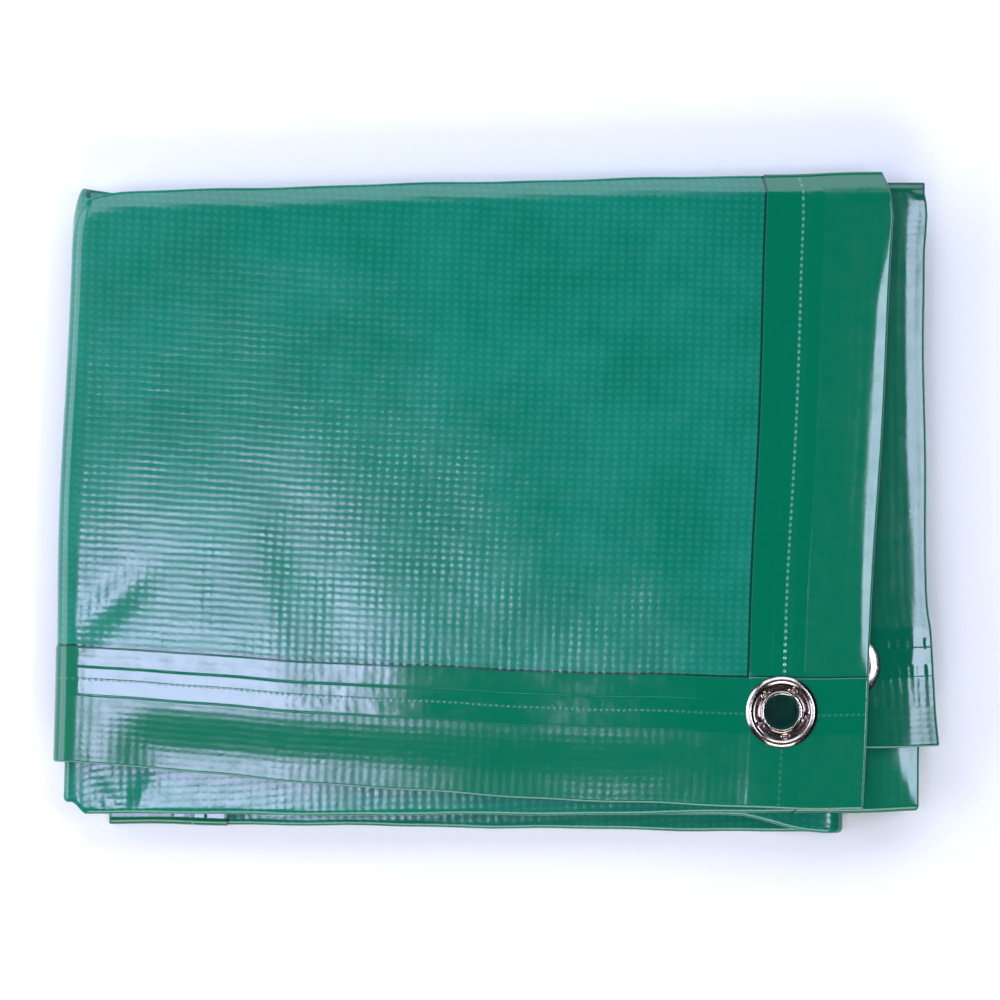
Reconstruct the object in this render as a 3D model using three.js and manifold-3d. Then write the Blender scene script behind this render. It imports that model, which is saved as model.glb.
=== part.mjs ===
// Folded tarpaulin: one heavy coated sheet with a welded hem all round and an eyelet set in each corner.
// The sheet is folded to four plies from front to back, then zigzagged into three panels from right to left.
// Millimetres, +Z up, X to the right, Y to the back. It lies flat at Z 0, its middle over the origin.

import * as THREE from "three";
import { mergeVertices } from "three/addons/utils/BufferGeometryUtils.js";
import Module from "manifold-3d";

// Sheet
const sheetThick = 1.0;
const hemThick = 1.5;
const plyPitch = 1.85; // from the middle of one ply to the middle of the next in a panel
const panelSlack = 0.25; // added to the radius of the two side folds, so that panels lie further apart than plies
const sideHemShare = 0.145; // of a panel's width, about 41 mm
const frontHemShare = 0.21; // of a ply's depth, about 46 mm
const hemRamp = 0.008; // the share over which the hem's edge steps down

// Eyelet set: a smooth eyelet whose neck goes through the hem, and a washer that its lip holds
const holeRadius = 6.3;
const neckWall = 0.5;
const lipRadius = 7.7;
const lipHeight = 0.8;
const flangeRadius = 12.5;
const flangeThick = 0.5;
const washerRadius = 13.0;
const washerThick = 0.5;
const washerCrestRadius = 11.4;
const crestHalfWidth = 0.5;
const crestFall = 0.9; // width of the slope from the washer's crest into its trough
const rimThick = 0.2; // of the flange and the washer at their outer edge
const rimBevel = 2.5; // width of the flange's bevel
const lipRound = 0.4;
const neckRound = 0.12; // where the hole runs into the flange
const fitGap = 0.3; // between separate pieces
const eyeletSides = 24;

// Where the sheet tents over an eyelet set
const tentFlat = 20;
const tentFall = 34;

// Places of the folds and edges, front to back (Y), at five stations along the sheet from its right-hand edge:
// the top panel's right edge, the left fold, near the right fold, the right fold, and the bottom panel's left edge.
// bow is how far the top panel's stretch bends away from straight at its middle. The photo hides the front edge
// past the left fold: it is laid close behind the front folds, so that no slot stays open under the top panel.
const foldLines = {
  frontEdge: { topRight: -109.4, leftFold: -92.0, nearRight: -109.0, rightFold: -110.0, endLeft: -98.0, bow: -3.4 },
  backFold: { topRight: 119.0, leftFold: 112.1, nearRight: 113.5, rightFold: 114.0, endLeft: 111.6, bow: 0.6 },
  frontFold: { topRight: -110.2, leftFold: -111.2, nearRight: -112.2, rightFold: -119.0, endLeft: -115.4, bow: -1.4 },
  backInnerFold: { topRight: 115.6, leftFold: 108.4, nearRight: 109.3, rightFold: 109.8, endLeft: 107.4, bow: 0.6 },
  innerEdge: { topRight: -86.9, leftFold: -87.0, nearRight: -80.0, rightFold: -80.0, endLeft: -70.0, bow: -1.0 },
};
const nearRightShare = 0.95; // how far along the middle panel its nearRight station lies

// Places of the sheet's two side edges (X) where they meet each fold line
const topRightEdge = { frontEdge: 132.1, backFold: 140.8, frontFold: 152.6, backInnerFold: 154.8, innerEdge: 160.2 };
const endLeftEdge = { frontEdge: -140.5, backFold: -137.5, frontFold: -139.6, backInnerFold: -137.0, innerEdge: -138.0 };
const innerEdgeBow = -2.6; // the right edge of the innermost ply flares out only near its front corner

// Places of the two side folds (X), at the middle of the four plies that turn there
const sideFolds = {
  left: { front: -152.3, back: -144.4, bow: -1.6 },
  right: { front: 119.0, back: 121.0, bow: 0.5 },
};
const foldFrontY = -110;
const foldBackY = 115;

// The top panel runs past the right fold beneath it, and its plies droop there
const overhangStart = 139;
const overhangEnd = 160;
const overhangDroop = 2;

// Lines across the whole stack where every ply and panel has points, so that all of them bend alike over a tent
const acrossY = [65, 20, -8, -24, -38, -52, -66, -80, -95];
const acrossX = [84, 68, 50, 20, -15, -60, -78, -93, -108, -124, -139];
const plainX = [50, -10]; // enough for the two lower panels where no eyelet set lies near
const keep = (list, first, last) => list.filter((place) => place <= first && place >= last);

// The four plies in the order in which the sheet runs, from its front edge to its inner edge.
// level is the ply's height in the panel, in pitches, and faceUp is 1 where the washer side is up.
// edgeShares lie along the hem at the sheet's edge, and places are the lines across that the ply keeps, in order.
// turn is the fold at its far end: its middle in pitches, its radius in pitches, and 1 where it bulges to the back.
const hemShares = [0, 0.05, 0.1, 0.15, frontHemShare - hemRamp, frontHemShare];
const plyRuns = [
  {
    from: "frontEdge",
    to: "backFold",
    level: 1.5,
    faceUp: 1,
    edgeShares: hemShares,
    places: keep(acrossY, 65, -38).reverse(),
    turn: { level: 0, radius: 1.5, toBack: 1, washerOut: 1, steps: 5 },
  },
  {
    from: "backFold",
    to: "frontFold",
    level: -1.5,
    faceUp: -1,
    edgeShares: [],
    places: acrossY,
    turn: { level: -1, radius: 0.5, toBack: -1, washerOut: 1, steps: 3 },
  },
  {
    from: "frontFold",
    to: "backInnerFold",
    level: -0.5,
    faceUp: 1,
    edgeShares: [],
    places: [...acrossY].reverse(),
    turn: { level: 0, radius: 0.5, toBack: 1, washerOut: -1, steps: 3 },
  },
  {
    from: "backInnerFold",
    to: "innerEdge",
    level: 0.5,
    faceUp: -1,
    edgeShares: hemShares.map((share) => 1 - share).reverse(),
    places: keep(acrossY, 65, -24),
    turn: null,
  },
];

// The three panels in the order in which the sheet runs, from its right-hand edge to its left-hand one
const sideHemShares = [0, 0.035, 0.07, 0.105, sideHemShare - hemRamp, sideHemShare];
const panelRuns = [
  { startShares: sideHemShares, places: acrossX, endShares: [1], turnSteps: 5 },
  {
    startShares: [0],
    places: [...plainX, ...keep(acrossX, -60, -139)].reverse(),
    endShares: [nearRightShare, 1],
    turnSteps: 5,
  },
  {
    startShares: [0],
    places: [...plainX, ...keep(acrossX, -60, -93)],
    endShares: [1 - sideHemShare, 1 - sideHemShare + hemRamp, 0.92, 1],
    turnSteps: 0,
  },
];

const sideFoldRadius = 2 * plyPitch + panelSlack;
const bottomLevel = sheetThick / 2; // height of the middle of the lowest ply
const endPanelZ = bottomLevel + 1.5 * plyPitch;
const panelMiddles = [endPanelZ + 4 * sideFoldRadius, endPanelZ + 2 * sideFoldRadius, endPanelZ];
const pliesUp = 4;

// Height of the middle of layer 0 (the lowest) to 11 (the top one), before any tent is added
function layerHeight(layer) {
  const panel = panelMiddles.length - 1 - Math.floor(layer / pliesUp);
  return panelMiddles[panel] + ((layer % pliesUp) - 1.5) * plyPitch;
}

// The eyelet sets: the layer that holds each, its place, and 1 where its washer is up
const eyeletSets = [
  { name: "front_right", layer: 11, x: 103.3, y: -74.9, washerUp: 1 },
  { name: "inner_right", layer: 10, x: 126.4, y: -58.3, washerUp: -1 },
  { name: "front_left", layer: 3, x: -110.0, y: -66.0, washerUp: 1 },
  { name: "inner_left", layer: 2, x: -107.0, y: -38.5, washerUp: -1 },
];
const washerReach = fitGap + lipHeight + fitGap + hemThick - plyPitch; // what the washer side pushes the next ply away
const flangeReach = fitGap + flangeThick + fitGap + hemThick - plyPitch;

// Each tent lifts one layer, and all above it, over the line between two eyelet sets
const tents = [
  { ends: [eyeletSets[0], eyeletSets[1]], fromLayer: 10, lift: washerReach },
  { ends: [eyeletSets[0], eyeletSets[1]], fromLayer: 11, lift: flangeReach },
  { ends: [eyeletSets[2], eyeletSets[3]], fromLayer: 2, lift: washerReach },
  { ends: [eyeletSets[2], eyeletSets[3]], fromLayer: 3, lift: flangeReach },
  { ends: [eyeletSets[2], eyeletSets[3]], fromLayer: 4, lift: washerReach },
];

const { lerp, clamp } = THREE.MathUtils;
const hump = (share) => 4 * share * (1 - share);

function distanceToLine(x, y, [a, b]) {
  const run = new THREE.Vector2(b.x - a.x, b.y - a.y);
  const reach = new THREE.Vector2(x - a.x, y - a.y);
  const along = clamp(reach.dot(run) / run.lengthSq(), 0, 1);
  return reach.addScaledVector(run, -along).length();
}

function tentLift(x, y, z) {
  let lift = 0;
  for (const tent of tents) {
    const above = layerHeight(tent.fromLayer);
    const below = layerHeight(tent.fromLayer - 1);
    const fall = clamp((distanceToLine(x, y, tent.ends) - tentFlat) / tentFall, 0, 1);
    lift += tent.lift * clamp((z - below) / (above - below), 0, 1) * 0.5 * (1 + Math.cos(Math.PI * fall));
  }
  return lift;
}

// Y of a fold line at a column of the sheet
function lineY(line, column) {
  const { panel, share } = column;
  if (panel === 0) return lerp(line.topRight, line.leftFold, share) + line.bow * hump(share);
  if (panel === 2) return lerp(line.rightFold, line.endLeft, share);
  if (share < nearRightShare) return lerp(line.leftFold, line.nearRight, share / nearRightShare);
  return lerp(line.nearRight, line.rightFold, (share - nearRightShare) / (1 - nearRightShare));
}

function sideFoldX(fold, y) {
  const share = clamp((y - foldFrontY) / (foldBackY - foldFrontY), 0, 1);
  return lerp(fold.front, fold.back, share) + fold.bow * hump(share);
}

// Rows across the plies: along the hem, on the lines across, and the steps of each turn
function listRows() {
  const rows = [];
  for (const { from, to, level, faceUp, edgeShares, places, turn } of plyRuns) {
    const ply = { from, to, level, faceUp };
    const edge = edgeShares.map((share) => {
      const fromEdge = Math.min(share, 1 - share);
      return { ...ply, share, hem: fromEdge < frontHemShare - hemRamp / 2 };
    });
    const inside = places.map((place) => ({ ...ply, place, hem: false }));
    rows.push(...(from === "frontEdge" ? [...edge, ...inside] : [...inside, ...edge]));
    if (!turn) continue;
    for (let i = 0; i <= turn.steps; i++) {
      rows.push({ from, to, share: 1, turn, angle: (Math.PI * i) / turn.steps, hem: false });
    }
  }
  return rows;
}

// Columns along the panels: along the hem, on the lines across, and the steps of each side fold
function listColumns() {
  const columns = [];
  panelRuns.forEach(({ startShares, places, endShares, turnSteps }, panel) => {
    const atShare = (share) => {
      const atEdge = panel === 0 ? share : panel === 2 ? 1 - share : 1;
      return { panel, share, angle: 0, hem: atEdge < sideHemShare - hemRamp / 2 };
    };
    columns.push(...startShares.map(atShare));
    columns.push(...places.map((place) => ({ panel, place, angle: 0, hem: false })));
    columns.push(...endShares.map(atShare));
    for (let i = 1; i < turnSteps; i++) {
      columns.push({ panel, share: 1, angle: (Math.PI * i) / turnSteps, hem: false });
    }
  });
  return columns;
}

// Y of a ply's end at a column: the start of its turn there, or the sheet's edge
function plyEndY(name, column) {
  const turn = plyRuns.map((run) => ({ ...run.turn, at: run.to })).find((run) => run.at === name && run.radius);
  return lineY(foldLines[name], column) - (turn ? turn.toBack * turn.radius * plyPitch : 0);
}

// Y, share along the ply, and height in the panel of a point that stands off the sheet's middle by offset
function sectionPoint(row, column, offset) {
  const toY = plyEndY(row.to, column);
  if (row.turn) {
    const { level, radius, toBack, washerOut } = row.turn;
    const r = radius * plyPitch + washerOut * offset;
    const start = toBack * washerOut; // 1 where the turn starts above its middle
    return {
      y: toY + toBack * r * Math.sin(row.angle),
      share: 1,
      w: level * plyPitch + start * r * Math.cos(row.angle),
    };
  }
  const fromY = plyEndY(row.from, column);
  const y = row.place ?? lerp(fromY, toY, row.share);
  return { y, share: (y - fromY) / (toY - fromY), w: row.level * plyPitch + row.faceUp * offset };
}

// X and share along a panel between its two ends
function along(column, startX, endX) {
  const x = column.place ?? lerp(startX, endX, column.share);
  return { x, share: (x - startX) / (endX - startX) };
}

function sheetPoint(row, column, offset) {
  const { panel, angle } = column;
  const middle = panelMiddles[panel];
  const panelEnds = (y, plyShare) => {
    const leftX = sideFoldX(sideFolds.left, y);
    const rightX = sideFoldX(sideFolds.right, y);
    const edge = panel === 0 ? topRightEdge : endLeftEdge;
    const bow = panel === 0 && row.to === "innerEdge" ? innerEdgeBow * hump(plyShare) : 0;
    const edgeX = lerp(edge[row.from], edge[row.to], plyShare) + bow;
    return [
      [edgeX, leftX],
      [leftX, rightX],
      [rightX, edgeX],
    ][panel];
  };
  // A line across meets the panel at a share that its own Y sets, so it is found first
  const guess = panelEnds(row.place ?? 0, row.share ?? 0.5);
  const guessShare = column.share ?? along(column, ...guess).share;
  const { y, share: plyShare, w } = sectionPoint(row, { panel, share: guessShare }, offset);
  const ends = panelEnds(y, plyShare);
  if (angle === 0) {
    const { x } = along(column, ...ends);
    const past = Math.max(0, (x - overhangStart) / (overhangEnd - overhangStart));
    return [x, y, middle + (panel === 1 ? -w : w) - overhangDroop * past * past];
  }
  const outward = panel === 0 ? -1 : 1;
  const r = sideFoldRadius - outward * w;
  return [ends[1] + outward * r * Math.sin(angle), y, middle - sideFoldRadius + r * Math.cos(angle)];
}

// One closed surface: the washer side, the smooth side, and the cut edges between them
function sheetGeometry() {
  const rows = listRows();
  const columns = listColumns();
  const positions = [];
  const index = [];
  for (const side of [1, -1]) {
    for (const row of rows) {
      for (const column of columns) {
        const thick = row.hem || column.hem ? hemThick : sheetThick;
        const [midX, midY, midZ] = sheetPoint(row, column, 0);
        const [x, y, z] = sheetPoint(row, column, (side * thick) / 2);
        const lowest = column.panel === 2 && column.hem ? (hemThick - sheetThick) / 2 : 0; // keeps the underside flat
        positions.push(x, y, z + tentLift(midX, midY, midZ) + lowest);
      }
    }
  }
  const at = (side, i, j) => (side * rows.length + i) * columns.length + j;
  const quad = (a, b, c, d) => index.push(a, b, c, a, c, d);
  const lastRow = rows.length - 1;
  const lastColumn = columns.length - 1;
  for (let i = 0; i < lastRow; i++) {
    for (let j = 0; j < lastColumn; j++) {
      quad(at(0, i, j), at(0, i + 1, j), at(0, i + 1, j + 1), at(0, i, j + 1));
      quad(at(1, i, j), at(1, i, j + 1), at(1, i + 1, j + 1), at(1, i + 1, j));
    }
    quad(at(1, i, 0), at(1, i + 1, 0), at(0, i + 1, 0), at(0, i, 0));
    quad(at(0, i, lastColumn), at(0, i + 1, lastColumn), at(1, i + 1, lastColumn), at(1, i, lastColumn));
  }
  for (let j = 0; j < lastColumn; j++) {
    quad(at(0, 0, j), at(0, 0, j + 1), at(1, 0, j + 1), at(1, 0, j));
    quad(at(1, lastRow, j), at(1, lastRow, j + 1), at(0, lastRow, j + 1), at(0, lastRow, j));
  }
  const geometry = new THREE.BufferGeometry();
  geometry.setAttribute("position", new THREE.Float32BufferAttribute(positions, 3));
  geometry.setIndex(index);
  return geometry;
}

const wasm = await Module();
wasm.setup();

function toSolid(geometry) {
  const bare = geometry.clone();
  bare.deleteAttribute("normal");
  bare.deleteAttribute("uv");
  const merged = mergeVertices(bare, 1e-4);
  return new wasm.Manifold(
    new wasm.Mesh({
      numProp: 3,
      vertProperties: merged.attributes.position.array,
      triVerts: new Uint32Array(merged.index.array),
    }),
  );
}

function toGeometry(solid) {
  const { vertProperties, triVerts } = solid.getMesh();
  const geometry = new THREE.BufferGeometry();
  geometry.setAttribute("position", new THREE.BufferAttribute(vertProperties, 3));
  geometry.setIndex(new THREE.BufferAttribute(triVerts, 1));
  geometry.computeVertexNormals();
  return geometry;
}

// Height of the middle of the hem at an eyelet set
function setHeight({ layer, x, y }) {
  const z = layerHeight(layer);
  const flush = layer < pliesUp ? (hemThick - sheetThick) / 2 : 0;
  return z + tentLift(x, y, z) + flush;
}

// The hem's hole clears the eyelet's neck all round
function cutHoles(sheet) {
  let solid = toSolid(sheet);
  for (const set of eyeletSets) {
    const cutter = new THREE.CylinderGeometry(
      holeRadius + neckWall + fitGap,
      holeRadius + neckWall + fitGap,
      hemThick + 2 * fitGap,
      eyeletSides,
    );
    cutter.rotateX(Math.PI / 2).translate(set.x, set.y, setHeight(set));
    solid = solid.subtract(toSolid(cutter));
  }
  return toGeometry(solid);
}

// A ring turned about Z from its outline of radius and height
function turned(outline) {
  const points = [...outline, outline[0]].map(([r, z]) => new THREE.Vector2(r, z));
  return new THREE.LatheGeometry(points, eyeletSides).rotateX(Math.PI / 2);
}

// Neck, smooth flange below the hem, and the lip rolled out above it
function eyeletGeometry() {
  const seat = hemThick / 2 + fitGap;
  const neck = holeRadius + neckWall;
  return turned([
    [holeRadius, -seat - neckRound],
    [neck, -seat - flangeThick],
    [flangeRadius - rimBevel, -seat - flangeThick],
    [flangeRadius, -seat - rimThick],
    [flangeRadius, -seat],
    [neck, -seat],
    [neck, seat],
    [lipRadius, seat],
    [lipRadius, seat + lipHeight - lipRound],
    [lipRadius - lipRound, seat + lipHeight],
    [holeRadius + lipRound, seat + lipHeight],
    [holeRadius, seat + lipHeight - lipRound],
  ]);
}

// Dished washer: a trough beside the lip, a raised ring, and an outer edge turned down to the hem
function washerGeometry() {
  const seat = hemThick / 2 + fitGap;
  const inner = lipRadius + fitGap;
  return turned([
    [inner, seat],
    [washerRadius, seat],
    [washerRadius, seat + rimThick],
    [washerCrestRadius + crestHalfWidth, seat + lipHeight],
    [washerCrestRadius - crestHalfWidth, seat + lipHeight],
    [washerCrestRadius - crestHalfWidth - crestFall, seat + washerThick],
    [inner, seat + washerThick],
  ]);
}

const coatedCloth = new THREE.MeshStandardMaterial({
  color: 0x0f8270,
  roughness: 0.35,
  metalness: 0,
  side: THREE.DoubleSide,
});
const nickelPlate = new THREE.MeshStandardMaterial({ color: 0xc8c6b8, roughness: 0.22, metalness: 1 });

const middleX = 0.48; // of the whole footprint, as laid out above
const middleY = 0.13;

const group = new THREE.Group();
group.position.set(-middleX, -middleY, 0);

function addMesh(name, geometry, material) {
  const mesh = new THREE.Mesh(geometry, material.clone());
  mesh.name = name;
  group.add(mesh);
  return mesh;
}

addMesh("tarp_sheet", cutHoles(sheetGeometry()), coatedCloth);

for (const set of eyeletSets) {
  for (const [piece, geometry] of [
    ["eyelet", eyeletGeometry()],
    ["washer", washerGeometry()],
  ]) {
    const mesh = addMesh(`${piece}_${set.name}`, geometry, nickelPlate);
    mesh.position.set(set.x, set.y, setHeight(set));
    if (set.washerUp < 0) mesh.rotation.x = Math.PI;
  }
}

export default group;
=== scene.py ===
import math

import bmesh
import bpy
import numpy as np
from mathutils import Matrix, Vector


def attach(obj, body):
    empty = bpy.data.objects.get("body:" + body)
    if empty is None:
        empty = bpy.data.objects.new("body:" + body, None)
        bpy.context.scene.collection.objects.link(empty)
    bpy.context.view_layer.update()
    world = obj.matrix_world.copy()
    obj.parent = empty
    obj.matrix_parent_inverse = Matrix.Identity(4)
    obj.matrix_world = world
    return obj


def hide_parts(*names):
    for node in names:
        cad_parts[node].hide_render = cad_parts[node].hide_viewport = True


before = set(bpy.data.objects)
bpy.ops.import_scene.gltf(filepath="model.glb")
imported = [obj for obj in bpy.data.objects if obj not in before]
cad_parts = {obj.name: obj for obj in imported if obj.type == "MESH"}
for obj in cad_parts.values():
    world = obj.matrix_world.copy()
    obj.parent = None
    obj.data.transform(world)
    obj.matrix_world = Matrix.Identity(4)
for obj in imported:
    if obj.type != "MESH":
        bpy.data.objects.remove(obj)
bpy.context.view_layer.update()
print("frame loaded")

# The sheet's middle surface, in millimetres, repeats the folded section of the CAD part.
cloth = {
    "plainTop": 0.3,  # from the middle surface to the washer side
    "plainUnder": 0.3,  # and to the smooth side
    "hemTop": 0.45,  # the turned ply shows as a step on the washer side
    "hemUnder": 0.15,
    "cornerTop": 0.1,  # the side hem's trace under the front hem
    "cornerSpan": (41.0, 2.5),  # and where it ends, from the side edge
    "hemWidthFront": 46.0,
    "hemWidthSide": 42.5,
    "hemWidthTop": 43.0,  # the side hem of the top panel's lower plies
    "hemEase": 4.0,  # the smooth side rises to the hem over this width
    "frontHemShare": 0.2125,  # of the first and last ply
    "sideHemShares": (0.15, 0.845),  # where the side hem ends in the first panel and starts in the last
    "hemStepShare": 0.994,  # of the hem, where its step starts
    "nearFoldShare": 0.9975,  # of a ply, a row beside the fold that keeps its shading narrow
    "plyPitch": 1.85,
    "sideFoldRadius": 3.95,
    "sideFoldPower": 0.74,  # under 1 is a pressed fold: flat above and tight at its edge
    "sideFoldSteps": (12, 10),
    "panelMiddles": (19.075, 11.175, 3.275),
    "settle": 0.2,  # the real sheet is thinner than the solid, so the stack lies this much lower
    "flushHem": 0.45,  # lifts the hem of the lowest panel, which would sink into the table
    "shift": (0.48, 0.13),  # from the layout to the frame's origin
    "holeRadius": 8.6,
    "rimSteps": 3,
    "sharpAngle": 50,
}

# The folds and edges that run along the sheet: Y at five places, the bow of the stretch in the top panel,
# size and phase of the wave, and X of the ends, at the right of the top panel and the left of the lowest
foldLines = {
    "frontEdge": {
        "y": (-109.4, -92.0, -109.0, -110.0, -98.0),
        "bow": -3.4,
        "wave": (0.4, 9),
        "x": (132.1, -140.5),
    },
    "backFold": {
        "y": (119.0, 112.1, 113.5, 114.0, 111.6),
        "bow": 0.6,
        "wave": (0.3, 8),
        "x": (139.3, -137.5),
    },
    "frontFold": {
        "y": (-110.2, -111.2, -112.2, -119.0, -115.4),
        "bow": -1.4,
        "wave": (0.35, 9),
        "x": (152.4, -139.6),
    },
    "backInnerFold": {
        "y": (115.6, 108.4, 109.3, 109.8, 107.4),
        "bow": 0.6,
        "wave": (0.2, 13),
        "x": (154.6, -137.0),
    },
    "innerEdge": {
        "y": (-86.9, -87.0, -80.0, -80.0, -70.0),
        "bow": -1.0,
        "wave": (0.3, 9),
        "x": (160.0, -138.0),
    },
}
nearRight = 0.88  # the third place, as a share of the middle panel
waveCounts = (21, 47)  # a long and a short wave, in radians to a panel
waveShare = 0.6  # of the short one, and of both
# Waves in the edges: size, and mm along Y to a radian
edgeWaves = {"topEdge": (0.25, 17), "innerEdge": (0.2, 11), "sideFold": (0.35, 19)}

# X of the two side folds: front, back and bow
sideFolds = {"left": (-152.3, -144.4, -1.6), "right": (119.0, 121.0, 0.5)}
foldSpan = (-110.0, 115.0)

# The top ply's right edge and the width of its side hem, by Y
topEdgeByY = ([-109, -60, 60, 104, 113, 119], [132.1, 134.0, 141.0, 143.2, 142.0, 139.3])
topHemByY = ([-109, -59, 73, 104, 119], [42.6, 42.5, 44.6, 45.4, 43.0])
# The right edge of the ply under it, which flares at its front corner
innerEdgeByY = (
    [-87, -75, -60, -45, -41, -34, 62, 90, 104, 110, 113, 114.6, 115.6],
    [160.0, 158.7, 157.6, 156.7, 156.0, 155.4, 154.4, 154.4, 155.6, 155.3, 154.4, 152.9, 150.6],
)
# The other plies' right edges are rounded at the front corner, over a span of Y
roundedCorner = {"ySpan": (-108.6, -2.8), "by": 2.2}

# Where the overhang on the right starts to droop, and how much of the top ply's edge curls down
overhangByY = {
    "inner": ([-87, -60, -35, 0, 19, 105, 112], [149.0, 149.5, 150.6, 149.2, 147.6, 147.6, 151.5]),
    "folded": ([-110, -106, -98, -88, -60, 115], [151.5, 150.0, 146.5, 143.2, 148.5, 148.5]),
}
curlWidthByY = ([-109, -64, -56, -35, 0, 37, 73, 92, 102], [0.0, 0.0, 3.0, 4.4, 5.4, 5.4, 4.8, 1.6, 0.0])
overhanging = {
    "leanFrom": 141,  # X from which the whole top panel leans down
    "lean": 0.03,
    "droop": 0.13,
    "droopEase": 2.2,  # mm until the droop is in full
    "curl": -0.155,
    "curlEase": 1.3,
}

# The four plies as the sheet runs, with their level in the panel in pitches
plies = [
    {"from": "frontEdge", "to": "backFold", "level": 1.5},
    {"from": "backFold", "to": "frontFold", "level": -1.5},
    {"from": "frontFold", "to": "backInnerFold", "level": -0.5},
    {"from": "backInnerFold", "to": "innerEdge", "level": 0.5},
]
# The fold after each ply: its level and radius in pitches, the way it bulges, whether the washer side is
# out, its reach in mm and its fullness
turns = [
    {"level": 0.0, "radius": 1.5, "toBack": 1, "washerOut": 1, "reach": 10.0, "full": 1.5, "steps": 16},
    {"level": -1.0, "radius": 0.5, "toBack": -1, "washerOut": 1, "reach": 1.6, "full": 1.8, "steps": 10},
    {"level": 0.0, "radius": 0.5, "toBack": 1, "washerOut": -1, "reach": 3.0, "full": 1.7, "steps": 8},
]
pliesPerPanel = len(plies)
topLayer = 11

# Panel 0 is the top one, and plies count as the sheet runs
eyeletSets = [
    {"name": "front_right", "layer": 11, "panel": 0, "ply": 0, "x": 103.3, "y": -74.9, "washerUp": 1},
    {"name": "inner_right", "layer": 10, "panel": 0, "ply": 3, "x": 126.4, "y": -58.3, "washerUp": -1},
    {"name": "front_left", "layer": 3, "panel": 2, "ply": 0, "x": -110.0, "y": -66.0, "washerUp": 1},
    {"name": "inner_left", "layer": 2, "panel": 2, "ply": 3, "x": -107.0, "y": -38.5, "washerUp": -1},
]
# Each set pushes the next layers up like a tent, which is level near the set and then falls
tentFlat = 20.0
tentFall = 75.0
tentFade = 11.0  # mm of layers over which the soft stack swallows the tent of a hidden eyelet
washerLift = 1.05
flangeLift = 0.75
tents = [
    {"ends": (0, 1), "layer": 10, "lift": washerLift},
    {"ends": (0, 1), "layer": 11, "lift": flangeLift},
    {"ends": (2, 3), "layer": 2, "lift": washerLift},
    {"ends": (2, 3), "layer": 3, "lift": flangeLift},
    {"ends": (2, 3), "layer": 4, "lift": washerLift},
]


def lerp(a, b, share):
    return a + (b - a) * share


def smooth(share):
    share = np.clip(share, 0.0, 1.0)
    return share * share * (3 - 2 * share)


# A span is where a change sets in and over how many mm, counted backwards where that is negative
def grown(value, span):
    start, over = span
    return smooth((value - start) / over)


def hump(share):
    return 4 * share * (1 - share)


def bell(value, centre, width):
    return np.exp(-(((value - centre) / width) ** 2))


def layerHeight(layer):
    panel = 2 - layer // pliesPerPanel
    return cloth["panelMiddles"][panel] + (layer % pliesPerPanel - 1.5) * cloth["plyPitch"]


# Where the hems are divided: close by the free edge, so that its shading stays narrow
frontShares = [0, 0.009, 0.05, 0.1, 0.16, 0.22, 0.285, 0.35, 0.42, 0.49, 0.56, 0.63, 0.7, 0.77, 0.84]
frontShares += [0.91, 0.96]
sideShares = [0, 0.009, 0.03, 0.055, 0.08, 0.105, 0.13, 0.16, 0.19, 0.225, 0.27, 0.32, 0.38, 0.46, 0.55]
sideShares += [0.65, 0.77, 0.9]


# Rows run across the plies and columns along the panels
def listRows():
    hem = cloth["frontHemShare"]
    near = cloth["nearFoldShare"]
    front = [hem * h for h in frontShares]
    step = [hem * cloth["hemStepShare"], hem]
    byFold = [0.012, 0.026, 0.042, 0.06, 0.08, 0.105, 0.14]
    shares = [
        front + step + list(np.linspace(hem, 1, 57)[1:-1]) + [near],
        [1 - near] + list(np.linspace(0, 1, 30)[1:-1]) + [near],
        [1 - near] + byFold + list(np.linspace(0.18, 1, 24)[:-1]) + [near],
        [1 - near] + list(np.linspace(0, 1 - hem, 38)[1:]) + [1 - s for s in reversed(front + step[:1])],
    ]
    rows = []
    for k, turnAfter in enumerate(turns + [None]):
        rows += [(k, share, 0.0, False) for share in shares[k]]
        if turnAfter:
            steps = turnAfter["steps"]
            rows += [(k, 1.0, math.pi * n / steps, True) for n in range(steps + 1)]
    return rows


def listColumns():
    hem = sideShares + [cloth["hemStepShare"], 1.0]
    body = list(np.linspace(0, 0.86, 56)[1:]) + list(np.linspace(0.86, 1, 25)[1:])
    leftSteps, rightSteps = cloth["sideFoldSteps"]
    columns = [(0, "hem", share, 0.0) for share in hem]
    columns += [(0, "body", share, 0.0) for share in body]
    columns += [(0, "body", 1.0, math.pi * n / leftSteps) for n in range(1, leftSteps)]
    columns += [(1, "body", share, 0.0) for share in np.linspace(0, 1, 38)]
    columns += [(1, "body", 1.0, math.pi * n / rightSteps) for n in range(1, rightSteps)]
    columns += [(2, "body", share, 0.0) for share in np.linspace(0, 1, 30)]
    columns += [(2, "hem", 1 - share, 0.0) for share in reversed(hem[:-1])]
    return columns


def lineY(name, panel, share):
    line = foldLines[name]
    topRight, leftFold, beforeRight, rightFold, endLeft = line["y"]
    top = lerp(topRight, leftFold, share) + line["bow"] * hump(share)
    middle = np.where(
        share < nearRight,
        lerp(leftFold, beforeRight, share / nearRight),
        lerp(beforeRight, rightFold, smooth((share - nearRight) / (1 - nearRight))),
    )
    along = np.choose(panel, [share, 1 + share, 2 + share])
    size, phase = line["wave"]
    long, short = waveCounts
    wave = size * (np.sin(along * long + phase) + waveShare * np.sin(along * short + 2.3 * phase))
    return np.choose(panel, [top, middle, lerp(rightFold, endLeft, share)]) + waveShare * wave


def plyEndY(name, panel, share):
    inset = 0.0
    for ply, turn in zip(plies, turns):
        if ply["to"] == name:
            inset = turn["toBack"] * turn["reach"]
    return lineY(name, panel, share) - inset


def edgeWave(name, y, phase=0.0):
    size, length = edgeWaves[name]
    return size * np.sin(y / length + phase)


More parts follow.
